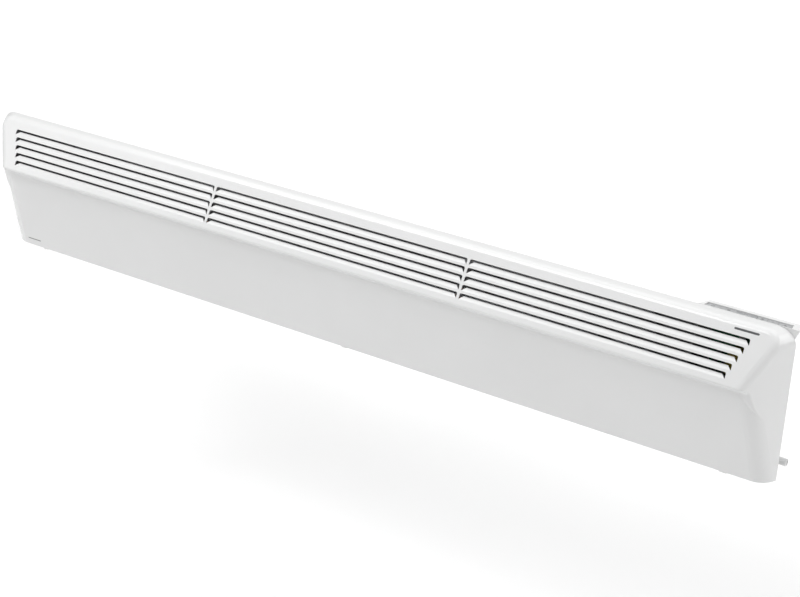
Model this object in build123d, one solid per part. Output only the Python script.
from build123d import *
import os
from math import atan2, cos, pi, radians, sin, sqrt, tan

# Electric plinth heater: a long low convector that hangs on three wall brackets.
# Millimetres, +Z up, the room on the -Y side and the wall on the +Y side.
# Everything is drawn from the cover's rear plane (y = 0) and from the underside of the
# bracket arms (z = 0). write() then moves it so that the origin is the middle of the wall
# fixing holes, on the wall's plane.

# ---- driving dimensions ------------------------------------------------------------------
HALF_LENGTH = 627.5          # of the cover, at its rear edge
HALF_FRONT = 585.0           # of the cover, where its front is furthest out
FRONT_REACH = 60.0           # from the rear plane to the lip
TOP = 220.0                  # height of the top band
BASE = 2.0                   # underside of the cover, where it rests on the bracket arms
WALL = 30.0                  # from the cover's rear plane to the wall
FIXING_HEIGHT = 90.0         # middle of the fixing holes above the bracket arms' underside

SHEET = 1.2                  # enamelled steel of the cover
CORNER_RADIUS = 22.0         # top corners of the cover, seen from the front
END_RADIUS = 900.0           # slight bow of the end walls, seen from above
FACE_EDGE_RADIUS = 12.0      # around the grille face, towards the top band and the end walls
LOWER_CORNER_RADIUS = 28.0   # between the lower panel and the end walls
LIP_RADIUS = 3.0             # under the lip and where it turns up into the end walls
OVERRUN = 20.0               # how far a section runs past what it is trimmed by

BAND_DEPTH = 13.8            # flat band along the top
GRILLE_LEAN = 35.0           # degrees from upright, its foot forward
LIP_Z = 152.4
COVE_RADIUS = 11.0           # between the lip's underside and the lower panel
CHEEK_Y = -30.0              # where the cove's line dies into the end wall
CHEEK_Z = 104.0
PANEL_FOOT_Y = -17.0         # lower panel, at its bottom edge
PANEL_HEAD_Y = -48.0         # lower panel, at PANEL_HEAD_Z
PANEL_HEAD_Z = 148.0

SLOT_ROWS = 5
SLOT_PITCH = 11.35           # down the grille face
SLOT_HEIGHT = 8.0
SLOT_START = 16.9            # from the grille face's top edge to the first slot
SLOT_HALF_LENGTH = 580.0     # of the first slot, at its top edge
SLOT_TAPER = 0.352           # how much each half shortens per millimetre down the face
SLOT_UPPER_CORNER = 2.4
SLOT_LOWER_CORNER = 0.9
RIB_X = 203.0                # the two ribs that cross every slot
RIB_WIDTH = 3.6
LOUVRE_LENGTH = 6.2          # blade turned in from each slot's lower edge
LOUVRE_ANGLE = 25.0          # above level
LOUVRE_END_GAP = 0.3
LOUVRE_TAPER = 5.0           # how much shorter a blade's inner edge is, at each end

# rear tray
TRAY_SHEET = 1.0
TRAY_HALF = 604.0
TRAY_DEPTH = 26.0
TRAY_TOP = 203.0
TRAY_TOP_REAR = 192.0        # the tray's roof slopes down to the back
TRAY_FLOOR = 12.0            # the cover is open below this, behind its foot
FLANGE_HALF = 620.0
FLANGE_TOP = 214.0
FLANGE_CORNER = 6.0
NOTCH_MARGIN = 4.0           # of the flange's notch, left of the control unit
FIT_GAP = 0.1                # between sheets that lie on each other
OPENING_GAP = 0.5            # around the tray, in the cover's rear
FOOT_OPENING_Y = -6.0        # front of the open underside, behind the cover's foot
HEAD_SETBACK = 3.0           # of the lower panel's head, which the hood hides

# wall brackets
BRACKET_X = (-564.0, 0.0, 564.0)
BRACKET_NAMES = ("left", "centre", "right")
BRACKET_SHEET = 2.0
BRACKET_WIDTH = 30.0
BRACKET_HEIGHT = 178.0
ARM_WIDTH = 12.0
ARM_FRONT_Y = -16.0
FIXING_SPACING = 80.0
FIXING_HOLE_RADIUS = 2.75
TONGUE_WIDTH = 14.0
TONGUE_Z = 158.0
TONGUE_RISE = 9.0

# heating element
ELEMENT_Y = -6.0
ELEMENT_Z = (62.0, 98.0)     # the two rods
ELEMENT_LEFT = -520.0
ELEMENT_RIGHT = 470.0
ARM_LENGTH = 16.0            # of each arm of the X, from the rod's axis
ARM_THICKNESS = 2.2
FIN_LENGTH = 5.0
CORE_RADIUS = 7.0
ROD_RADIUS = 4.0
ROD_BORE_RADIUS = 4.1
ROD_OVERHANG = 22.0
ROD_PIN_RADIUS = 1.6
ROD_PIN_LENGTH = 9.0
HANGER_SHEET = 1.5
HANGER_OFFSET = 9.0          # from the end of the aluminium to the hanger
BUSH_RADIUS = 7.5
BARREL_RADIUS = 5.9          # of the bush, in the hanger's hole
SUPPORT_REACH = 12.0         # of hangers and saddle, in front of the element's middle
HANGER_MARGIN = 15.0         # above and below the rods

# control unit, behind the top right of the cover
KEY_EDGES = (514.5, 530.5, 550.5, 576.0, 588.5, 602.0, 618.5)
KEY_NAMES = ("key_power", "key_mode", None, "key_timer", "key_minus", "key_plus")
KEY_FRONT_Y = 1.4
KEY_REAR_Y = 8.4
KEY_GAP = 0.35
WINDOW_GAP = 0.8             # around the strip of keys, at its rear and its ends
KEY_TOP_Z = 219.0            # the strip lies a little below the bezel
LENS_SETBACK = 1.4           # the display's front edge lies behind the keys'
CONTROL_LEFT = 502.0
CONTROL_RIGHT = 629.3
CONTROL_END_LEAN = 19.0      # degrees, the right end slants in towards its foot
CONTROL_FOOT_Z = 180.0       # lower than any of the unit
CONTROL_SLANT = 11.0         # how much the left end slants, seen from above
CONTROL_CORNER = 6.0         # rear corners
CONTROL_FRONT_Y = 0.4
CONTROL_REAR_Y = 16.0
BEZEL_THICKNESS = 2.0
CONTROL_WALL = 1.6
CONTROL_SPLIT_Z = 214.0      # between the tray of the control unit and its bezel
BOARD_SHEET = 1.6
CONTROL_BOARD_Z = 208.2

# mains entry
GLAND_Y = 15.0
GLAND_Z = 22.0
GLAND_TIP_X = 634.0
GLAND_RADIUS = 5.0
GLAND_BORE_RADIUS = 3.8

# electronics compartment
PARTITION_X = 508.0
POWER_BOARD_X = (520.0, 596.0)
POWER_BOARD_Z = (66.0, 180.0)
POWER_BOARD_Y = 16.0
TRAY_FOOT = 6.0              # the tray's lower edge
TONGUE_SLOT_HALF = 8.0       # of the slots in the tray's back that hang on the tongues
FIXING_Z = (FIXING_HEIGHT - FIXING_SPACING / 2, FIXING_HEIGHT + FIXING_SPACING / 2)

# intake grille
GRILLE_PLATE_Z = 3.3
GRILLE_PLATE_FRONT = -14.0
GRILLE_LIP_TOP = 16.0
INTAKE_PITCH = 12.0
INTAKE_LENGTH = 24.0
INTAKE_WIDTH = 5.0
INTAKE_FRONT_Y = -4.0

# element supports and air guides
BUSH_FLANGE = 2.5
HANGER_FOOT = 12.0
SADDLE_X = -25.0
SADDLE_WIDTH = 14.0
SADDLE_TOP = 47.6
SADDLE_WEB = 16.0
SADDLE_FOOT = 30.0
SHIELD_X = (-500.0, 448.0)
SHIELD_Y = 16.5
SHIELD_Z = (52.0, 150.0)
SHIELD_SHEET = 0.6
LEG_REACH = 9.0              # of the legs cut from the shield, beside their screws
LEG_HALF = 7.0               # half their width
DEFLECTOR_LIP_Y = -1.0
DEFLECTOR_LIP_Z = 194.0
WIRE_PASSAGE_Z = 80.0
PASSAGE_RADIUS = 7.0
ELEMENT_WIRE_RADIUS = 1.4
JUMPER_REACH = 10.0
JUMPER_BEND = 6.0
LEAD_BEND = 3.0
LEAD_SPREAD = 3.0            # of the two leads, above and below the passage's middle
MAINS_CORE_RADIUS = 1.2
CAPILLARY_Y = 6.0
CAPILLARY_Z = 124.0
CAPILLARY_RADIUS = 1.1
CUTOUT_LENGTH = 20.0
CUTOUT_HALF = 9.0            # half the body's width and height
SPADE_LENGTH = 8.0
SPADE_SPREAD = 7.0
CLIP_X = (-440.0, -210.0, 20.0, 250.0, 420.0)
SENSOR_X = 540.0
SENSOR_Y = 12.0
SENSOR_Z = 9.0
SENSOR_LENGTH = 24.0
SENSOR_RADIUS = 2.5

# electronics
GLAND_THREAD_RADIUS = 6.0
GLAND_INSIDE = 12.0
GLAND_FLANGE = 3.0
GLAND_FLANGE_RADIUS = 8.5
GLAND_COLLAR = 10.0
GLAND_COLLAR_RADIUS = 7.0
GLAND_NUT = 4.0
GLAND_NUT_RADIUS = 9.5
TERMINAL_X = (524.0, 572.0)
TERMINAL_Z = (36.0, 58.0)
EARTH_PLACE = (588.0, 52.0)
CABLE_X = 560.0
HEADER_Z = 174.0
OUTPUT_DEPTH = 12.0          # of the board's output terminals
OUTPUT_X = 575.0
RELAYS_X = (540.0, 562.0)
RELAY_Z = 104.0
RELAY_SIZE = (16.0, 20.0, 15.0)       # width, height and depth, as for all on the board
TRANSFORMER_PLACE = (562.0, 150.0)    # (x, z), as for all on the board
CORE_SIZE = (30.0, 26.0, 22.0)
COIL_SIZE = (22.0, 32.0, 18.0)
CAPACITOR_PLACE = (532.0, 150.0)
CAPACITOR_RADIUS = 5.0
CAPACITOR_HEIGHT = 14.0
VARISTOR_PLACE = (588.0, 118.0)
VARISTOR_SIZE = (4.0, 14.0, 14.0)
FUSE_PLACE = (541.3, 130.0)
FUSE_LENGTH = 22.0
FUSE_RADIUS = 2.6
FUSE_HEIGHT = 6.0
HEADER_SIZE = (12.0, 7.0, 6.0)
CHIP_PLACE = (560.0, 122.0)
CHIP_SIZE = (12.0, 10.0, 2.2)
KEY_INDEXES = (0, 1, 3, 4, 5)
DISPLAY_INDEX = 2
KEY_SLANT = 3.0
KEY_BOTTOM_Z = 216.4
KEY_STEM_Z = 214.4
LENS_BOTTOM_Z = 217.4
SWITCH_Y = 6.0
SWITCH_TOP_Z = 213.5
BEZEL_EDGE_RADIUS = 1.8
CONTROL_FOOT_GAP = 1.0
CONTROL_POSTS_X = (520.0, 614.0)
CONTROL_POSTS_Y = (4.5, 12.0)
CONTROL_POST_RADIUS = 1.6
BOARD_CLEARANCE = 2.2        # under the control board
CONTROL_SCREWS_X = (530.0, 600.0)
CONTROL_SCREW_Y = 11.0
CONTROL_SCREW_RADIUS = 1.3
CONTROL_SCREW_LENGTH = 8.0
CONTROL_SEAT_DROP = 1.3      # so that the flat heads clear the sloping roof

# fasteners, at (x, z)
SCREW_GAP = 0.05
HEAD_HEIGHT = 1.8
RECESS_WIDTH = 0.8
COVER_SCREW_RADIUS = 1.6
TRAY_SCREW_RADIUS = 1.6
SMALL_SCREW_RADIUS = 1.25
COVER_SCREWS = (
    (-560.0, 208.7), (-280.0, 208.7), (0.0, 208.7), (280.0, 208.7), (470.0, 208.7),
    (-612.0, 40.0), (-612.0, 150.0), (612.0, 60.0), (612.0, 150.0),
)
GRILLE_SCREWS = ((-500.0, 11.0), (-250.0, 11.0), (250.0, 11.0), (500.0, 11.0))
HANGER_SCREWS = ((-536.5, 56.0), (-536.5, 104.0), (486.5, 56.0), (486.5, 104.0))
SADDLE_SCREWS = ((-21.5, 24.0),)
SHIELD_SCREWS = ((-420.0, 66.0), (-420.0, 128.0), (380.0, 66.0), (380.0, 128.0))
PARTITION_SCREWS = ((513.0, 45.0), (513.0, 165.0))
BOARD_SCREWS = ((525.0, 70.5), (591.0, 82.0), (525.0, 175.5), (591.0, 175.5))
REAR_SCREWS = (
    (GRILLE_SCREWS, TRAY_SCREW_RADIUS),
    (HANGER_SCREWS, TRAY_SCREW_RADIUS),
    (SADDLE_SCREWS, TRAY_SCREW_RADIUS),
    (SHIELD_SCREWS, SMALL_SCREW_RADIUS),
    (PARTITION_SCREWS, SMALL_SCREW_RADIUS),
)


# ---- front cover ---------------------------------------------------------------------------

def end_arc_centre():
    """Centre of the right end wall's bow, seen from above."""
    half_x = (HALF_LENGTH - HALF_FRONT) / 2
    half_y = FRONT_REACH / 2
    half_chord = sqrt(half_x**2 + half_y**2)
    back = sqrt(END_RADIUS**2 - half_chord**2)
    centre_x = HALF_FRONT + half_x - back * half_y / half_chord
    centre_y = -half_y + back * half_x / half_chord
    return centre_x, centre_y


def end_wall_x(y):
    """Outside of the right end wall at a given depth."""
    centre_x, centre_y = end_arc_centre()
    return centre_x + sqrt(END_RADIUS**2 - (y - centre_y) ** 2)


def inset(face, depth):
    return offset(face, amount=-depth, kind=Kind.INTERSECTION) if depth else face


def plan_face():
    """The cover seen from above, carried on past its lip."""
    reach = FRONT_REACH + OVERRUN
    front_x = end_wall_x(-reach)
    right = ThreePointArc(
        (HALF_LENGTH, 0), (end_wall_x(-reach / 2), -reach / 2), (front_x, -reach)
    )
    left = mirror(right, Plane.YZ)
    front_line = Line((front_x, -reach), (-front_x, -reach))
    rear_line = Line((HALF_LENGTH, 0), (-HALF_LENGTH, 0))
    return make_face([right, front_line, left, rear_line])


def along_x(face, half_length):
    """A section drawn in depth and height, run both ways along the heater."""
    return extrude(Plane.YZ * face, amount=half_length, both=True)


def grille_y(z):
    """Grille face's plane at a given height."""
    return -BAND_DEPTH - (TOP - z) * tan(radians(GRILLE_LEAN))


def front_face():
    """Section of everything behind the top band's front edge and the grille face."""
    back = 2 * SHEET
    foot = CHEEK_Z - OVERRUN
    points = (
        (back, TOP),
        (-BAND_DEPTH, TOP),
        (grille_y(foot), foot),
        (back, foot),
    )
    return make_face(Polyline(*points, close=True))


def cove_ends():
    """Where the cove leaves the lip's underside, and where it meets the lower panel."""
    lean = atan2(PANEL_FOOT_Y - PANEL_HEAD_Y, PANEL_HEAD_Z - BASE)
    run = COVE_RADIUS * tan((pi / 2 - lean) / 2)
    foot_z = LIP_Z - run * cos(lean)
    return (panel_y(LIP_Z) - run, LIP_Z), (panel_y(foot_z), foot_z)


def hood_face():
    """Section of everything above the lip's underside, the cove and the cheek."""
    back = 2 * SHEET
    reach = FRONT_REACH + OVERRUN
    head, foot = cove_ends()
    roof = Polyline((back, TOP), (-reach, TOP), (-reach, LIP_Z), head)
    cove = TangentArc(head, foot, tangent=(1, 0))
    cheek = TangentArc(foot, (CHEEK_Y, CHEEK_Z), tangent=cove % 1)
    inner = Polyline(cheek @ 1, (back, CHEEK_Z), (back, TOP))
    return make_face([roof, cove, cheek, inner])


def panel_y(z):
    """Outside of the lower panel at a given height."""
    slope = (PANEL_HEAD_Y - PANEL_FOOT_Y) / (PANEL_HEAD_Z - BASE)
    return PANEL_FOOT_Y + slope * (z - BASE)


def lower_face():
    """Section of the cover's lower part, its head hidden inside the hood."""
    back = 2 * SHEET
    below = BASE - 2 * SHEET
    foot_y, foot_z = cove_ends()[1]
    head = foot_z + COVE_RADIUS
    points = (
        (back, below),
        (panel_y(below), below),
        (foot_y, foot_z),
        (foot_y + HEAD_SETBACK, head),
        (back, head),
    )
    return make_face(Polyline(*points, close=True))


def cover_form(depth):
    """The cover's outer form, or the hollow that lies a given depth inside it."""
    plan = Pos(0, 0, BASE + depth) * inset(plan_face(), depth)
    block = extrude(plan, amount=TOP - BASE - 2 * depth)
    top_ends = block.edges().filter_by(GeomType.CIRCLE).group_by(Axis.Z)[-1]
    block = fillet(top_ends, CORNER_RADIUS - depth)
    hood = block & along_x(inset(hood_face(), depth), HALF_LENGTH)
    hood = hood & along_x(inset(front_face(), depth), HALF_LENGTH)
    hood = fillet(face_side_edges(hood, depth), FACE_EDGE_RADIUS - depth)
    hood = fillet(hood.edges().filter_by(is_under_edge), LIP_RADIUS - depth)
    lower = block & along_x(inset(lower_face(), depth), HALF_LENGTH)
    lower = fillet(lower.edges().filter_by(is_lower_corner), LOWER_CORNER_RADIUS - depth)
    return hood + lower


def face_side_edges(hood, depth):
    """The grille face's edges at the end walls; the rounding runs on along the top band."""
    plane = grille_plane()
    edges = []
    for edge in hood.edges():
        places = [plane.to_local_coords(edge @ share) for share in (0, 0.5, 1)]
        on_face = all(abs(place.Z + depth) < SHEET / 10 for place in places)
        if on_face and abs(edge.center().X) > HALF_FRONT - OVERRUN:
            edges.append(edge)
    return edges


def is_lower_corner(edge):
    """The lower panel's upright edges at the end walls."""
    centre = edge.center()
    return abs(centre.X) > HALF_FRONT and centre.Y < PANEL_FOOT_Y and edge.length > FRONT_REACH


def is_under_edge(edge):
    """The end walls' edges under the hood; the rounding runs on along the lip."""
    centre = edge.center()
    low = CHEEK_Z < centre.Z < LIP_Z + 2 * SHEET
    return abs(centre.X) > HALF_FRONT - OVERRUN and low and centre.Y < CHEEK_Y


def grille_plane():
    """On the grille face: X along the heater, Y up the face, Z out of it."""
    lean = radians(GRILLE_LEAN)
    return Plane(
        origin=(0, -BAND_DEPTH, TOP), x_dir=(1, 0, 0), z_dir=(0, -cos(lean), sin(lean))
    )


def slot_half(down):
    """Half the length of a slot, at a distance down the grille face."""
    return SLOT_HALF_LENGTH - SLOT_TAPER * (down - SLOT_START)


def bays(row):
    """The left, middle and right openings of one row, each as (left end, right end)."""
    half = slot_half(SLOT_START + row * SLOT_PITCH)
    rib = RIB_WIDTH / 2
    return (-half, -RIB_X - rib), (-RIB_X + rib, RIB_X - rib), (RIB_X + rib, half)


def slot_faces(row):
    middle = -SLOT_START - row * SLOT_PITCH - SLOT_HEIGHT / 2
    for left, right in bays(row):
        face = Pos((left + right) / 2, middle) * Rectangle(right - left, SLOT_HEIGHT)
        face = fillet(face.vertices().group_by(Axis.Y)[-1], SLOT_UPPER_CORNER)
        yield fillet(face.vertices().group_by(Axis.Y)[0], SLOT_LOWER_CORNER)


def slots():
    faces = [face for row in range(SLOT_ROWS) for face in slot_faces(row)]
    return [extrude(grille_plane() * face, amount=2 * SHEET, both=True) for face in faces]


def blade_plane(row):
    """On one row's blades: X along the heater, Y inwards from the slots' lower edges."""
    lean = radians(GRILLE_LEAN)
    tilt = radians(LOUVRE_ANGLE)
    bottom = SLOT_START + row * SLOT_PITCH + SLOT_HEIGHT
    root = (0, -BAND_DEPTH - bottom * sin(lean), TOP - bottom * cos(lean))
    return Plane(origin=root, x_dir=(1, 0, 0), z_dir=(0, -sin(tilt), cos(tilt)))


def louvres():
    """Blades turned in from the lower edges of the slots, with slanted ends."""
    blades = []
    for row in range(SLOT_ROWS):
        for left, right in bays(row):
            start, end = left + LOUVRE_END_GAP, right - LOUVRE_END_GAP
            points = (
                (start, 0),
                (end, 0),
                (end - LOUVRE_TAPER, LOUVRE_LENGTH),
                (start + LOUVRE_TAPER, LOUVRE_LENGTH),
            )
            face = make_face(Polyline(*points, close=True))
            blades.append(extrude(blade_plane(row) * face, amount=-SHEET))
    return blades


def box_between(low, high):
    """A box given by its lowest and highest corners."""
    size = [b - a for a, b in zip(low, high)]
    centre = [(a + b) / 2 for a, b in zip(low, high)]
    return Pos(*centre) * Box(*size)


def front_cover():
    shell = cover_form(0) - cover_form(SHEET)
    opening_half = TRAY_HALF + OPENING_GAP
    rear_cut = -1.5 * SHEET
    rear = box_between(
        (-opening_half, rear_cut, -OVERRUN), (opening_half, OVERRUN, TRAY_TOP + OPENING_GAP)
    )
    floor = box_between((-opening_half, FOOT_OPENING_Y, -OVERRUN), (opening_half, OVERRUN, TRAY_FLOOR))
    shell = shell - rear - floor - slots()
    shell = shell + louvres()
    return shell - screw_holes(COVER_SCREWS, COVER_SCREW_RADIUS, rear_cut, SHEET)


# ---- small helpers ---------------------------------------------------------------------------
def rod_along_x(start, end, y, z, radius):
    plane = Plane(origin=(start, y, z), x_dir=(0, 1, 0), z_dir=(1, 0, 0))
    return extrude(plane * Circle(radius), amount=end - start)


def rod_along_y(start, end, x, z, radius):
    plane = Plane(origin=(x, start, z), x_dir=(1, 0, 0), z_dir=(0, 1, 0))
    return extrude(plane * Circle(radius), amount=end - start)


def rod_along_z(start, end, x, y, radius):
    return extrude(Pos(x, y, start) * Circle(radius), amount=end - start)


def screw_holes(places, radius, start, end):
    """Holes along Y for the screws at the given (x, z) places."""
    return [rod_along_y(start, end, x, z, radius + SCREW_GAP) for x, z in places]


def screw(radius, length):
    """A pan-head screw with a cross recess, its head above z = 0 and its shank below."""
    head = Cylinder(2 * radius, HEAD_HEIGHT, align=(Align.CENTER, Align.CENTER, Align.MIN))
    rim = head.edges().group_by(Axis.Z)[-1]
    head = fillet(rim, HEAD_HEIGHT / 2)
    slot = Box(2.4 * radius, RECESS_WIDTH, HEAD_HEIGHT)
    recess = Pos(0, 0, HEAD_HEIGHT) * (slot + Rot(Z=90) * slot)
    shank = Cylinder(radius, length, align=(Align.CENTER, Align.CENTER, Align.MAX))
    tip = shank.edges().group_by(Axis.Z)[0]
    return head - recess + chamfer(tip, radius / 2)


def screws_along_y(places, radius, length, seat_y, from_rear):
    """Screws at (x, z) places whose heads seat at seat_y, driven from the rear or the front."""
    turn = Rot(X=-90 if from_rear else 90)
    one = turn * screw(radius, length)
    return Compound(children=[Pos(x, seat_y, z) * one for x, z in places])


def wire(radius, bend, *points):
    """An insulated wire along straight runs joined by arcs."""
    path = FilletPolyline(*points, radius=bend)
    start = Plane(origin=path @ 0, z_dir=path % 0)
    return sweep(start * Circle(radius), path=path)


# ---- rear tray, intake grille and wall brackets ----------------------------------------------
def roof_z(y):
    """Outside of the tray's sloping roof."""
    return TRAY_TOP - (TRAY_TOP - TRAY_TOP_REAR) * y / TRAY_DEPTH


def tray_section(depth):
    """The tray's section, open below, a given depth inside its outline."""
    front, rear = FIT_GAP, TRAY_DEPTH - depth
    points = (
        (front - depth, roof_z(front) - depth),
        (rear, roof_z(rear) - depth),
        (rear, TRAY_FOOT - depth),
        (front - depth, TRAY_FOOT - depth),
    )
    return make_face(Polyline(*points, close=True))


def rear_tray():
    outside = along_x(tray_section(0), TRAY_HALF)
    hollow = along_x(tray_section(TRAY_SHEET), TRAY_HALF - TRAY_SHEET)
    plate = RectangleRounded(2 * FLANGE_HALF, FLANGE_TOP - TRAY_FOOT, FLANGE_CORNER)
    plane = Plane(
        origin=(0, FIT_GAP, (FLANGE_TOP + TRAY_FOOT) / 2), x_dir=(1, 0, 0), z_dir=(0, 1, 0)
    )
    flange = extrude(plane * plate, amount=TRAY_SHEET)
    control_notch = box_between(
        (CONTROL_LEFT - NOTCH_MARGIN, -1, TRAY_TOP + 0.3), (FLANGE_HALF + 1, 3, FLANGE_TOP + 1)
    )
    tray = outside + flange - hollow - control_notch
    for x in BRACKET_X:
        tray = tray - box_between(
            (x - TONGUE_SLOT_HALF, TRAY_DEPTH - 2, TONGUE_Z - TONGUE_RISE),
            (x + TONGUE_SLOT_HALF, TRAY_DEPTH + 1, TONGUE_Z + BRACKET_SHEET),
        )
    gland_hole = rod_along_x(
        TRAY_HALF - 3, TRAY_HALF + 1, GLAND_Y, GLAND_Z, GLAND_THREAD_RADIUS + FIT_GAP
    )
    cable_hole = box_between((CABLE_X - 7, 7, 190), (CABLE_X + 7, 14, TRAY_TOP + 1))
    tray = tray - gland_hole - cable_hole
    tray = tray - screw_holes(COVER_SCREWS, COVER_SCREW_RADIUS, -1, 2)
    for places, radius in REAR_SCREWS:
        tray = tray - screw_holes(places, radius, TRAY_DEPTH - 2, TRAY_DEPTH + 1)
    for x in CONTROL_SCREWS_X:
        tray = tray - rod_along_z(190, TRAY_TOP + 1, x, CONTROL_SCREW_Y, CONTROL_SCREW_RADIUS + 0.3)
    return tray


def bottom_grille():
    low = GRILLE_PLATE_Z
    high = low + TRAY_SHEET
    back = TRAY_DEPTH - TRAY_SHEET
    half = TRAY_HALF - TRAY_SHEET - 1
    plate = box_between((-half, GRILLE_PLATE_FRONT, low), (half, back, high))
    lip = box_between((-half, back - TRAY_SHEET, low), (half, back, GRILLE_LIP_TOP))
    count = int(2 * half / INTAKE_PITCH) - 1
    first = -(count - 1) * INTAKE_PITCH / 2
    slot = SlotOverall(INTAKE_LENGTH, INTAKE_WIDTH, rotation=90)
    middle_y = (INTAKE_FRONT_Y * 2 + INTAKE_LENGTH) / 2
    slots = [
        extrude(Pos(first + i * INTAKE_PITCH, middle_y, low - 1) * slot, amount=3 * TRAY_SHEET)
        for i in range(count)
    ]
    return plate + lip - slots - screw_holes(GRILLE_SCREWS, TRAY_SCREW_RADIUS, back - 3, back + 1)


def wall_bracket(x):
    front = WALL - BRACKET_SHEET
    plane = Plane(origin=(x, front, BRACKET_HEIGHT / 2), x_dir=(1, 0, 0), z_dir=(0, 1, 0))
    outline = RectangleRounded(BRACKET_WIDTH, BRACKET_HEIGHT, 4)
    plate = extrude(plane * outline, amount=BRACKET_SHEET)
    half_arm = ARM_WIDTH / 2
    arm = box_between((x - half_arm, ARM_FRONT_Y, 0), (x + half_arm, WALL, BRACKET_SHEET))
    arm = fillet(arm.edges().filter_by(Axis.Z).group_by(Axis.Y)[0], 3)
    tongue_front = TRAY_DEPTH - TRAY_SHEET - BRACKET_SHEET - FIT_GAP
    half_tongue = TONGUE_WIDTH / 2
    tongue = box_between(
        (x - half_tongue, tongue_front, TONGUE_Z),
        (x + half_tongue, front, TONGUE_Z + BRACKET_SHEET),
    )
    hook = box_between(
        (x - half_tongue, tongue_front, TONGUE_Z),
        (x + half_tongue, tongue_front + BRACKET_SHEET, TONGUE_Z + TONGUE_RISE),
    )
    bracket = plate + arm + tongue + hook
    for z in FIXING_Z:
        bracket = bracket - rod_along_y(front - 1, WALL + 1, x, z, FIXING_HOLE_RADIUS)
    return bracket


# ---- heating element -------------------------------------------------------------------------
def element_section():
    """One X with a tubular core and a cross fin on each arm, around its own middle."""
    shape = Circle(CORE_RADIUS)
    for turn in (45, 135, 225, 315):
        arm = Pos(ARM_LENGTH / 2, 0) * Rectangle(ARM_LENGTH, ARM_THICKNESS)
        tip = Pos(ARM_LENGTH, 0) * Rectangle(ARM_THICKNESS, FIN_LENGTH)
        middle = Pos(ARM_LENGTH * 0.72, 0) * Rectangle(ARM_THICKNESS * 0.7, FIN_LENGTH)
        shape = shape + Rot(Z=turn) * (arm + tip + middle)
    return shape


def heating_element():
    low, high = ELEMENT_Z
    web = Pos(ELEMENT_Y, (low + high) / 2) * Rectangle(ARM_THICKNESS, high - low)
    section = web
    for z in ELEMENT_Z:
        section = section + Pos(ELEMENT_Y, z) * element_section()
    for z in ELEMENT_Z:
        section = section - Pos(ELEMENT_Y, z) * Circle(ROD_BORE_RADIUS)
    body = extrude(Plane.YZ * section, amount=ELEMENT_RIGHT - ELEMENT_LEFT)
    return Pos(ELEMENT_LEFT, 0, 0) * body


def heater_rod(z):
    left = ELEMENT_LEFT - ROD_OVERHANG
    right = ELEMENT_RIGHT + ROD_OVERHANG
    rod = rod_along_x(left, right, ELEMENT_Y, z, ROD_RADIUS)
    pin_left, pin_right = left - ROD_PIN_LENGTH, right + ROD_PIN_LENGTH
    return rod + rod_along_x(pin_left, pin_right, ELEMENT_Y, z, ROD_PIN_RADIUS)


def hanger_x(side):
    """The inner face of the left (-1) or the right (+1) hanger's web."""
    return ELEMENT_RIGHT + HANGER_OFFSET if side > 0 else ELEMENT_LEFT - HANGER_OFFSET


def rod_bushes():
    """A flanged ceramic bush in each hanger hole."""
    bushes = []
    for side in (-1, 1):
        face = hanger_x(side)
        ends = sorted((face - side * BUSH_FLANGE, face))
        body = sorted((face - side * BUSH_FLANGE, face + side * (HANGER_SHEET + BUSH_FLANGE)))
        for z in ELEMENT_Z:
            flange = rod_along_x(*ends, ELEMENT_Y, z, BUSH_RADIUS)
            barrel = rod_along_x(*body, ELEMENT_Y, z, BARREL_RADIUS)
            bore = rod_along_x(body[0] - 1, body[1] + 1, ELEMENT_Y, z, ROD_RADIUS + 0.05)
            bushes.append(flange + barrel - bore)
    return Compound(children=bushes)


def element_hanger(side):
    inner = hanger_x(side)
    outer = inner + side * HANGER_SHEET
    back = TRAY_DEPTH - TRAY_SHEET
    low_z, high_z = ELEMENT_Z[0] - HANGER_MARGIN, ELEMENT_Z[1] + HANGER_MARGIN
    foot_x = inner + side * HANGER_FOOT
    web = box_between(
        (min(inner, outer), ELEMENT_Y - SUPPORT_REACH, low_z), (max(inner, outer), back, high_z)
    )
    web = fillet(web.edges().filter_by(Axis.X).group_by(Axis.Y)[0], 6)
    foot = box_between(
        (min(inner, foot_x), back - HANGER_SHEET, low_z), (max(inner, foot_x), back, high_z)
    )
    hanger = web + foot
    for z in ELEMENT_Z:
        hanger = hanger - rod_along_x(inner - 5, inner + 5, ELEMENT_Y, z, BARREL_RADIUS + SCREW_GAP)
    return hanger - screw_holes(HANGER_SCREWS, TRAY_SCREW_RADIUS, back - 3, back + 1)


def element_saddle():
    """Rests under the middle of the element and stands off the tray's back."""
    back = TRAY_DEPTH - TRAY_SHEET
    half = SADDLE_WIDTH / 2
    front = ELEMENT_Y - SUPPORT_REACH
    web = box_between(
        (SADDLE_X, front, SADDLE_TOP - SADDLE_WEB), (SADDLE_X + HANGER_SHEET, back, SADDLE_TOP)
    )
    seat = box_between(
        (SADDLE_X - half, front, SADDLE_TOP - HANGER_SHEET),
        (SADDLE_X + half, ELEMENT_Y + SADDLE_WIDTH, SADDLE_TOP),
    )
    foot = box_between(
        (SADDLE_X - half, back - HANGER_SHEET, SADDLE_TOP - SADDLE_FOOT),
        (SADDLE_X + half, back, SADDLE_TOP),
    )
    holes = screw_holes(SADDLE_SCREWS, TRAY_SCREW_RADIUS, back - 3, back + 1)
    return web + seat + foot - holes


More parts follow.
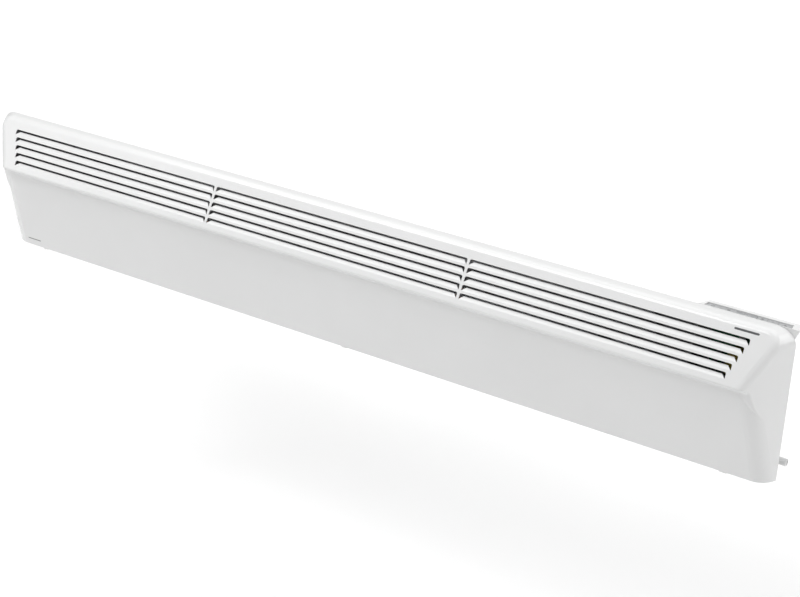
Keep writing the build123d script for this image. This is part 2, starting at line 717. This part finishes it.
def heat_shield():
    back = TRAY_DEPTH - TRAY_SHEET
    low, high = SHIELD_Z
    sheet = box_between(
        (SHIELD_X[0], SHIELD_Y, low), (SHIELD_X[1], SHIELD_Y + SHIELD_SHEET, high)
    )
    shield = sheet
    for x, z in SHIELD_SCREWS:
        start, end = x - LEG_REACH, x + LEG_REACH
        low, high = z - LEG_HALF, z + LEG_HALF
        window = box_between((start, SHIELD_Y - 1, low), (end, SHIELD_Y + 1, high))
        leg = box_between((end, SHIELD_Y, low), (end + SHIELD_SHEET, back, high))
        foot = box_between((x - LEG_HALF, back - SHIELD_SHEET, low), (end, back, high))
        shield = shield - window + leg + foot
    return shield - screw_holes(SHIELD_SCREWS, SMALL_SCREW_RADIUS, back - 2, back + 1)


def outlet_deflector():
    """Turns the warm air forward, from the shield's head towards the slots."""
    rear = SHIELD_Y + SHIELD_SHEET
    low, high = SHIELD_Z[1] - 8, SHIELD_Z[1]
    straight = Line((rear, low), (rear, high))
    bend = TangentArc((rear, high), (DEFLECTOR_LIP_Y, DEFLECTOR_LIP_Z), tangent=(0, 1))
    path = Wire([straight.edge(), bend.edge()])
    face = make_face(offset(path, amount=SHIELD_SHEET, side=Side.RIGHT, closed=True))
    body = extrude(Plane.YZ * face, amount=SHIELD_X[1] - SHIELD_X[0])
    return Pos(SHIELD_X[0], 0, 0) * body


def partition_wall():
    back = TRAY_DEPTH - TRAY_SHEET
    foot = GRILLE_PLATE_Z + TRAY_SHEET + 0.2
    points = (
        (back, GRILLE_LIP_TOP + 1),
        (back - 3, GRILLE_LIP_TOP + 1),
        (back - 3, foot),
        (GRILLE_PLATE_FRONT + 3, foot),
        (panel_y(LIP_Z) + 13, LIP_Z - 14),
        (panel_y(LIP_Z) + 13, LIP_Z - 4),
        (-5, TRAY_TOP - 8),
        (-2, TRAY_TOP - 4),
        (back, roof_z(back) - 2),
    )
    wall = along_x(make_face(Polyline(*points, close=True)), TRAY_SHEET / 2)
    wall = Pos(PARTITION_X, 0, 0) * wall
    foot_flange = box_between((PARTITION_X, back - TRAY_SHEET, 30), (PARTITION_X + 9, back, 180))
    start, end = PARTITION_X - 2, PARTITION_X + 2
    passage = rod_along_x(start, end, ELEMENT_Y, WIRE_PASSAGE_Z, PASSAGE_RADIUS)
    capillary = rod_along_x(start, end, CAPILLARY_Y, CAPILLARY_Z, CAPILLARY_RADIUS + 0.6)
    holes = screw_holes(PARTITION_SCREWS, SMALL_SCREW_RADIUS, back - 2, back + 1)
    return wall + foot_flange - passage - capillary - holes


# ---- safety cut-out and sensor -----------------------------------------------------------------
def overheat_cutout():
    """Body on the partition, with two spade terminals."""
    face = PARTITION_X + TRAY_SHEET / 2
    end = face + CUTOUT_LENGTH
    low = (face, CAPILLARY_Y - CUTOUT_HALF, CAPILLARY_Z - CUTOUT_HALF)
    high = (end, CAPILLARY_Y + CUTOUT_HALF, CAPILLARY_Z + CUTOUT_HALF)
    body = box_between(low, high)
    body = fillet(body.edges().filter_by(Axis.X), 2)
    cap = rod_along_x(end, end + 3, CAPILLARY_Y, CAPILLARY_Z, 5)
    spades = [
        box_between((end, y - 0.4, CAPILLARY_Z + 1), (end + SPADE_LENGTH, y + 0.4, CAPILLARY_Z + 7))
        for y in (CAPILLARY_Y - SPADE_SPREAD, CAPILLARY_Y + SPADE_SPREAD)
    ]
    socket = rod_along_x(face - 1, face + 4, CAPILLARY_Y, CAPILLARY_Z, CAPILLARY_RADIUS)
    return body + cap + spades - socket


def overheat_capillary():
    """Thin sensing tube that runs the whole length above the element."""
    end = PARTITION_X + TRAY_SHEET / 2 + 4
    return rod_along_x(SHIELD_X[0] + 10, end, CAPILLARY_Y, CAPILLARY_Z, CAPILLARY_RADIUS)


def capillary_clips():
    clips = []
    for x in CLIP_X:
        ring = rod_along_x(x - 3, x + 3, CAPILLARY_Y, CAPILLARY_Z, CAPILLARY_RADIUS + 0.8)
        stalk = box_between(
            (x - 3, CAPILLARY_Y, CAPILLARY_Z - 0.5), (x + 3, SHIELD_Y, CAPILLARY_Z + 0.5)
        )
        bore = rod_along_x(x - 4, x + 4, CAPILLARY_Y, CAPILLARY_Z, CAPILLARY_RADIUS + 0.02)
        foot = box_between(
            (x - 3, SHIELD_Y - 0.6, CAPILLARY_Z - 4), (x + 3, SHIELD_Y, CAPILLARY_Z + 4)
        )
        clips.append(ring + stalk + foot - bore)
    return Compound(children=clips)


def room_sensor():
    """Probe in a round-ended sleeve, low in the intake."""
    sleeve = rod_along_x(SENSOR_X, SENSOR_X + SENSOR_LENGTH, SENSOR_Y, SENSOR_Z, SENSOR_RADIUS)
    rims = sleeve.edges().filter_by(GeomType.CIRCLE)
    return fillet(rims, 1.2)


def sensor_clip():
    top = GRILLE_PLATE_Z + TRAY_SHEET
    x = SENSOR_X + SENSOR_LENGTH / 2
    block = box_between((x - 4, SENSOR_Y - 4, top), (x + 4, SENSOR_Y + 4, SENSOR_Z + 3.5))
    bore = rod_along_x(x - 5, x + 5, SENSOR_Y, SENSOR_Z, SENSOR_RADIUS + 0.02)
    mouth = box_between((x - 5, SENSOR_Y - 1.6, SENSOR_Z), (x + 5, SENSOR_Y + 1.6, SENSOR_Z + 5))
    return block - bore - mouth


# ---- electronics -------------------------------------------------------------------------------
def power_board():
    (left, right), (low, high) = POWER_BOARD_X, POWER_BOARD_Z
    board = box_between((left, POWER_BOARD_Y, low), (right, POWER_BOARD_Y + BOARD_SHEET, high))
    return board - screw_holes(BOARD_SCREWS, SMALL_SCREW_RADIUS, POWER_BOARD_Y - 1, POWER_BOARD_Y + 3)


def board_standoffs():
    back = TRAY_DEPTH - TRAY_SHEET
    start = POWER_BOARD_Y + BOARD_SHEET
    return Compound(
        children=[
            rod_along_y(start, back, x, z, 3.2)
            - rod_along_y(start, back - 1, x, z, SMALL_SCREW_RADIUS + SCREW_GAP)
            for x, z in BOARD_SCREWS
        ]
    )


def on_board(x, z, width, height, depth):
    """A block standing on the power board's front."""
    low = (x - width / 2, POWER_BOARD_Y - depth, z - height / 2)
    return box_between(low, (x + width / 2, POWER_BOARD_Y, z + height / 2))


def power_relays():
    relays = []
    for x in RELAYS_X:
        relay = on_board(x, RELAY_Z, *RELAY_SIZE)
        relays.append(fillet(relay.edges().group_by(Axis.Y)[0], 1))
    return Compound(children=relays)


def power_transformer():
    core = on_board(*TRANSFORMER_PLACE, *CORE_SIZE)
    coil = on_board(*TRANSFORMER_PLACE, *COIL_SIZE)
    return fillet(core.edges().filter_by(Axis.Y), 2) + coil


def glass_fuse():
    """In its two clips, on a base."""
    x, z = FUSE_PLACE
    half = FUSE_LENGTH / 2
    fuse = rod_along_z(z - half, z + half, x, POWER_BOARD_Y - FUSE_HEIGHT, FUSE_RADIUS)
    base = on_board(x, z, 8, FUSE_LENGTH + 2, 3)
    clips = [on_board(x, z + side * (half - 1.5), 6.4, 3, 8) for side in (-1, 1)]
    return base + fuse + clips


def board_parts():
    """Capacitor, fuse, connectors and the small blocks of the power board."""
    start = POWER_BOARD_Y - CAPACITOR_HEIGHT
    capacitor = rod_along_y(start, POWER_BOARD_Y, *CAPACITOR_PLACE, CAPACITOR_RADIUS)
    capacitor = fillet(capacitor.edges().filter_by(GeomType.CIRCLE).group_by(Axis.Y)[0], 0.8)
    varistor = on_board(*VARISTOR_PLACE, *VARISTOR_SIZE)
    output = on_board(OUTPUT_X, WIRE_PASSAGE_Z, 26, 16, OUTPUT_DEPTH)
    header = on_board(CABLE_X, HEADER_Z, *HEADER_SIZE)
    chip = on_board(*CHIP_PLACE, *CHIP_SIZE)
    return Compound(children=[capacitor, varistor, glass_fuse(), output, header, chip])


def terminal_block():
    """Three-way mains terminal on the tray's back."""
    back = TRAY_DEPTH - TRAY_SHEET
    (left, right), (low, high) = TERMINAL_X, TERMINAL_Z
    block = box_between((left, back - 17, low), (right, back, high))
    block = fillet(block.edges().filter_by(Axis.X).group_by(Axis.Y)[0], 1.5)
    step = (right - left) / 3
    for i in range(3):
        x = left + step * (i + 0.5)
        for z in (low + 5, high - 5):
            block = block - rod_along_y(back - 18, back - 9, x, z, 2.4)
        block = block - rod_along_z(low - 1, high + 1, x, back - 7, 1.9)
    return block


def terminal_screws():
    back = TRAY_DEPTH - TRAY_SHEET
    (left, right), (low, high) = TERMINAL_X, TERMINAL_Z
    step = (right - left) / 3
    heads = []
    for i in range(3):
        for z in (low + 5, high - 5):
            x = left + step * (i + 0.5)
            head = rod_along_y(back - 14, back - 9.2, x, z, 2.3)
            heads.append(head - box_between((x - 3, back - 15, z - 0.4), (x + 3, back - 13, z + 0.4)))
    return Compound(children=heads)


def earth_stud():
    back = TRAY_DEPTH - TRAY_SHEET
    x, z = EARTH_PLACE
    stud = rod_along_y(back - 12, back, x, z, 2)
    plane = Plane(origin=(x, back - 5.2, z), x_dir=(1, 0, 0), z_dir=(0, 1, 0))
    nut = extrude(plane * RegularPolygon(4, 6), amount=3.2)
    washer = rod_along_y(back - 2, back, x, z, 5)
    return stud + nut + washer


def mains_wires():
    """Cores of the mains lead, from the gland to the terminals."""
    (left, right), (low, _) = TERMINAL_X, TERMINAL_Z
    back = TRAY_DEPTH - TRAY_SHEET
    step = (right - left) / 3
    start_x = TRAY_HALF - GLAND_INSIDE
    cores = []
    for i, (dy, dz) in enumerate(((-1.7, -1), (0, 2), (1.7, -1))):
        x = left + step * (i + 0.5)
        start = (start_x, GLAND_Y + dy, GLAND_Z + dz)
        turn = (x, GLAND_Y + dy, GLAND_Z + dz)
        knee = (x, back - 7, GLAND_Z + dz + 4)
        end = (x, back - 7, low + 3)
        cores.append(wire(MAINS_CORE_RADIUS, LEAD_BEND, start, turn, knee, end))
    return Compound(children=cores)


def element_wires():
    """Jumper at the left end, and the two leads from the right end to the board."""
    low, high = ELEMENT_Z
    left = ELEMENT_LEFT - ROD_OVERHANG - ROD_PIN_LENGTH
    right = ELEMENT_RIGHT + ROD_OVERHANG + ROD_PIN_LENGTH
    far_left = left - JUMPER_REACH
    jumper = wire(
        ELEMENT_WIRE_RADIUS, JUMPER_BEND,
        (left, ELEMENT_Y, low), (far_left, ELEMENT_Y, low),
        (far_left, ELEMENT_Y, high), (left, ELEMENT_Y, high),
    )
    bend_x = right + LEAD_BEND + 1
    output_y = POWER_BOARD_Y - OUTPUT_DEPTH
    leads = []
    routes = (
        (low, WIRE_PASSAGE_Z - LEAD_SPREAD, OUTPUT_X - 5),
        (high, WIRE_PASSAGE_Z + LEAD_SPREAD, OUTPUT_X + 5),
    )
    for z, passage_z, board_x in routes:
        points = (
            (right, ELEMENT_Y, z),
            (bend_x, ELEMENT_Y, z),
            (bend_x, ELEMENT_Y, passage_z),
            (board_x, ELEMENT_Y, passage_z),
            (board_x, output_y, passage_z),
        )
        leads.append(wire(ELEMENT_WIRE_RADIUS, LEAD_BEND, *points))
    return Compound(children=[jumper] + leads)


# ---- mains entry -------------------------------------------------------------------------------
def cable_gland():
    face = TRAY_HALF
    flange = rod_along_x(face, face + GLAND_FLANGE, GLAND_Y, GLAND_Z, GLAND_FLANGE_RADIUS)
    thread = rod_along_x(face - GLAND_INSIDE, face, GLAND_Y, GLAND_Z, GLAND_THREAD_RADIUS)
    sleeve = rod_along_x(face, GLAND_TIP_X, GLAND_Y, GLAND_Z, GLAND_RADIUS)
    sleeve = fillet(sleeve.edges().filter_by(GeomType.CIRCLE).group_by(Axis.X)[-1], 0.8)
    collar = rod_along_x(face, face + GLAND_COLLAR, GLAND_Y, GLAND_Z, GLAND_COLLAR_RADIUS)
    collar = chamfer(collar.edges().filter_by(GeomType.CIRCLE).group_by(Axis.X)[-1], 1.9)
    gland = flange + thread + sleeve + collar
    bore = rod_along_x(face - GLAND_INSIDE - 1, GLAND_TIP_X + 1, GLAND_Y, GLAND_Z, GLAND_BORE_RADIUS)
    return gland - bore


def gland_nut():
    inner = TRAY_HALF - TRAY_SHEET
    plane = Plane(
        origin=(inner - GLAND_NUT, GLAND_Y, GLAND_Z), x_dir=(0, 1, 0), z_dir=(1, 0, 0)
    )
    nut = extrude(plane * RegularPolygon(GLAND_NUT_RADIUS, 6), amount=GLAND_NUT)
    hole_radius = GLAND_THREAD_RADIUS + SCREW_GAP
    return nut - rod_along_x(inner - GLAND_NUT - 1, inner + 1, GLAND_Y, GLAND_Z, hole_radius)


# ---- control unit ------------------------------------------------------------------------------
def control_plan(depth):
    """The control unit from above, its left end slanted."""
    points = (
        (CONTROL_LEFT, CONTROL_FRONT_Y),
        (CONTROL_RIGHT, CONTROL_FRONT_Y),
        (CONTROL_RIGHT, CONTROL_REAR_Y),
        (CONTROL_LEFT + CONTROL_SLANT, CONTROL_REAR_Y),
    )
    face = make_face(Polyline(*points, close=True))
    face = fillet(face.vertices().group_by(Axis.Y)[-1], CONTROL_CORNER)
    return inset(face, depth)


def control_block(depth, low, high):
    """The control unit's plan raised between two heights."""
    return extrude(Pos(0, 0, low) * control_plan(depth), amount=high - low)


def beyond_slant(depth):
    """Everything right of the control unit's slanted right end, or a given depth inside it."""
    right = CONTROL_RIGHT - depth
    slant = (TOP - CONTROL_FOOT_Z) * tan(radians(CONTROL_END_LEAN))
    points = (
        (right, TOP),
        (right - slant, CONTROL_FOOT_Z),
        (right + OVERRUN, CONTROL_FOOT_Z),
        (right + OVERRUN, TOP),
    )
    return extrude(Plane.XZ * make_face(Polyline(*points, close=True)), amount=WALL, both=True)


def control_tray():
    outside = control_block(0, CONTROL_FOOT_Z, CONTROL_SPLIT_Z) - beyond_slant(0)
    roof = (
        (-1, CONTROL_FOOT_Z - 1),
        (-1, roof_z(-1) + CONTROL_FOOT_GAP),
        (WALL, roof_z(WALL) + CONTROL_FOOT_GAP),
        (WALL, CONTROL_FOOT_Z - 1),
    )
    under = along_x(make_face(Polyline(*roof, close=True)), HALF_LENGTH + OVERRUN)
    floor = CONTROL_BOARD_Z - BOARD_CLEARANCE
    pocket = control_block(CONTROL_WALL, floor, TOP) - beyond_slant(CONTROL_WALL)
    tray = outside - under - pocket
    for x in CONTROL_POSTS_X:
        for y in CONTROL_POSTS_Y:
            tray = tray + rod_along_z(floor - 0.5, CONTROL_BOARD_Z, x, y, CONTROL_POST_RADIUS)
    cable_hole = box_between((CABLE_X - 6, 8, CONTROL_FOOT_Z), (CABLE_X + 6, 13, floor + 1))
    hole_radius = CONTROL_SCREW_RADIUS + SCREW_GAP
    for x in CONTROL_SCREWS_X:
        tray = tray - rod_along_z(CONTROL_FOOT_Z, floor - 1, x, CONTROL_SCREW_Y, hole_radius)
    return tray - cable_hole


def key_window():
    """The long opening that the keys and the display share."""
    left, right = KEY_EDGES[0], KEY_EDGES[-1]
    front = KEY_FRONT_Y - KEY_GAP
    rear = KEY_REAR_Y + WINDOW_GAP
    points = (
        (left - KEY_SLANT - WINDOW_GAP, front),
        (right + WINDOW_GAP, front),
        (right + WINDOW_GAP, rear),
        (left - WINDOW_GAP, rear),
    )
    return make_face(Polyline(*points, close=True))


def control_bezel():
    body = control_block(0, CONTROL_SPLIT_Z, TOP)
    rim = body.edges().group_by(Axis.Z)[-1]
    rim = rim.filter_by(lambda edge: edge.center().Y > CONTROL_FRONT_Y + 0.1)
    body = fillet(rim, BEZEL_EDGE_RADIUS) - beyond_slant(0)
    hollow = control_block(CONTROL_WALL, CONTROL_SPLIT_Z, TOP - BEZEL_THICKNESS)
    hollow = hollow - beyond_slant(CONTROL_WALL)
    window = extrude(Pos(0, 0, CONTROL_SPLIT_Z - 1) * key_window(), amount=TOP - CONTROL_SPLIT_Z + 2)
    return body - hollow - window


def strip_piece(index, bottom, top, front=KEY_FRONT_Y):
    """One key's or the display's share of the strip."""
    left = KEY_EDGES[index] + (KEY_GAP / 2 if index else 0)
    last = len(KEY_EDGES) - 2
    right = KEY_EDGES[index + 1] - (KEY_GAP / 2 if index < last else 0)
    slant = 0 if index else KEY_SLANT
    points = (
        (left - slant, front), (right, front), (right, KEY_REAR_Y), (left, KEY_REAR_Y),
    )
    return extrude(Pos(0, 0, bottom) * make_face(Polyline(*points, close=True)), amount=top - bottom)


def key_middle(index):
    return (KEY_EDGES[index] + KEY_EDGES[index + 1]) / 2


def key(index):
    """Cap, with a heel caught under the bezel and a stem over its switch."""
    cap = strip_piece(index, KEY_BOTTOM_Z, KEY_TOP_Z)
    cap = chamfer(cap.edges().group_by(Axis.Z)[-1], 0.25)
    x = key_middle(index)
    heel = box_between(
        (x - 4, KEY_REAR_Y - 1, KEY_BOTTOM_Z), (x + 4, KEY_REAR_Y + 2, KEY_BOTTOM_Z + 0.8)
    )
    stem = rod_along_z(KEY_STEM_Z, KEY_BOTTOM_Z + 0.5, x, SWITCH_Y, 1.5)
    return cap + heel + stem


def display_lens():
    front = KEY_FRONT_Y + LENS_SETBACK
    lens = strip_piece(DISPLAY_INDEX, LENS_BOTTOM_Z, KEY_TOP_Z, front)
    return chamfer(lens.edges().group_by(Axis.Z)[-1], 0.2)


def display_module():
    left, right = KEY_EDGES[DISPLAY_INDEX] + 1.2, KEY_EDGES[DISPLAY_INDEX + 1] - 1.2
    board_top = CONTROL_BOARD_Z + BOARD_SHEET
    return box_between((left, KEY_FRONT_Y + 0.8, board_top), (right, KEY_REAR_Y - 0.2, LENS_BOTTOM_Z))


def control_board():
    low = (CONTROL_POSTS_X[0] - 3, 2.4, CONTROL_BOARD_Z)
    high = (CONTROL_POSTS_X[1] + 3, 14, CONTROL_BOARD_Z + BOARD_SHEET)
    return box_between(low, high)


def key_switches():
    board_top = CONTROL_BOARD_Z + BOARD_SHEET
    switches = []
    for index in KEY_INDEXES:
        x = key_middle(index)
        body = box_between((x - 3, SWITCH_Y - 3, board_top), (x + 3, SWITCH_Y + 3, board_top + 3))
        switches.append(body + rod_along_z(board_top, SWITCH_TOP_Z, x, SWITCH_Y, 1.5))
    return Compound(children=switches)


def control_cable():
    top = CONTROL_BOARD_Z
    low = HEADER_Z + 3.5
    ribbon = box_between((CABLE_X - 4, 10.4, low), (CABLE_X + 4, 11.4, top))
    plug = box_between((CABLE_X - 5, 9.6, top - 2), (CABLE_X + 5, 12.2, top))
    return ribbon + plug


def control_screws():
    seat = roof_z(CONTROL_SCREW_Y) - TRAY_SHEET - CONTROL_SEAT_DROP
    one = Rot(X=180) * screw(CONTROL_SCREW_RADIUS, CONTROL_SCREW_LENGTH)
    return Compound(children=[Pos(x, CONTROL_SCREW_Y, seat) * one for x in CONTROL_SCREWS_X])


# ---- writing -----------------------------------------------------------------------------------
def write(name, shape):
    """Moved so that the origin is the middle of the fixing holes, on the wall's plane."""
    export_step(Pos(0, -WALL, -FIXING_HEIGHT) * shape, f"parts/{name}.step")


def main():
    os.makedirs("parts", exist_ok=True)
    back = TRAY_DEPTH - TRAY_SHEET
    write("front_cover", front_cover())
    write("rear_tray", rear_tray())
    write("bottom_grille", bottom_grille())
    for name, x in zip(BRACKET_NAMES, BRACKET_X):
        write(f"wall_bracket_{name}", wall_bracket(x))
    write("heating_element", heating_element())
    write("heater_rod_lower", heater_rod(ELEMENT_Z[0]))
    write("heater_rod_upper", heater_rod(ELEMENT_Z[1]))
    write("rod_bushes", rod_bushes())
    write("element_hanger_left", element_hanger(-1))
    write("element_hanger_right", element_hanger(1))
    write("element_saddle", element_saddle())
    write("heat_shield", heat_shield())
    write("outlet_deflector", outlet_deflector())
    write("partition_wall", partition_wall())
    write("overheat_cutout", overheat_cutout())
    write("overheat_capillary", overheat_capillary())
    write("capillary_clips", capillary_clips())
    write("room_sensor", room_sensor())
    write("sensor_clip", sensor_clip())
    write("power_board", power_board())
    write("board_standoffs", board_standoffs())
    write("power_relays", power_relays())
    write("power_transformer", power_transformer())
    write("board_parts", board_parts())
    write("terminal_block", terminal_block())
    write("terminal_screws", terminal_screws())
    write("earth_stud", earth_stud())
    write("mains_wires", mains_wires())
    write("element_wires", element_wires())
    write("cable_gland", cable_gland())
    write("gland_nut", gland_nut())
    write("control_tray", control_tray())
    write("control_bezel", control_bezel())
    for index in KEY_INDEXES:
        write(KEY_NAMES[index], key(index))
    write("display_lens", display_lens())
    write("display_module", display_module())
    write("control_board", control_board())
    write("key_switches", key_switches())
    write("control_cable", control_cable())
    write("control_screws", control_screws())
    seat = FIT_GAP + TRAY_SHEET
    write("cover_screws", screws_along_y(COVER_SCREWS, COVER_SCREW_RADIUS, 6, seat, True))
    tray_places = GRILLE_SCREWS + HANGER_SCREWS + SADDLE_SCREWS
    write("tray_screws", screws_along_y(tray_places, TRAY_SCREW_RADIUS, 5, TRAY_DEPTH, True))
    seat = back - SHIELD_SHEET
    write("shield_screws", screws_along_y(SHIELD_SCREWS, SMALL_SCREW_RADIUS, 3, seat, False))
    seat = back - TRAY_SHEET
    write("partition_screws", screws_along_y(PARTITION_SCREWS, SMALL_SCREW_RADIUS, 4, seat, False))
    write("board_screws", screws_along_y(BOARD_SCREWS, SMALL_SCREW_RADIUS, 7, POWER_BOARD_Y, False))


main()
